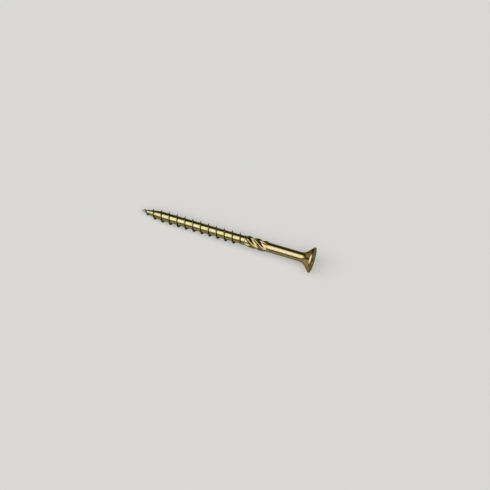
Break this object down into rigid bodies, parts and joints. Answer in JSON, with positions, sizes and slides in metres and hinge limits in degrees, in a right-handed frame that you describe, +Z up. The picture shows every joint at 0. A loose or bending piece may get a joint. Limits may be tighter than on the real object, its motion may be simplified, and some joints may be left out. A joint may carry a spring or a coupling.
{
  "type": "structural screw",
  "caption": "Countersunk structural wood screw with a coarse thread, slanted shank cutter ribs and a star socket, lying at rest on its head rim and thread.",
  "frame": {"origin": "on the surface that the screw lies on, under the middle of the screw's bounding box", "axes": "+X is level and runs from the point towards the head, +Z is up; the screw's own axis lies in the XZ plane and rises 2.41 degrees towards the head"},
  "size_m": [0.0702, 0.01, 0.01],
  "materials": {
    "zinc_plated_steel": "bright zinc plating with a yellow passivation, smooth and shiny, a little greener in the thread"
  },
  "bodies": {
    "root": {"structural_screw": "zinc_plated_steel"}
  },
  "joints": []
}
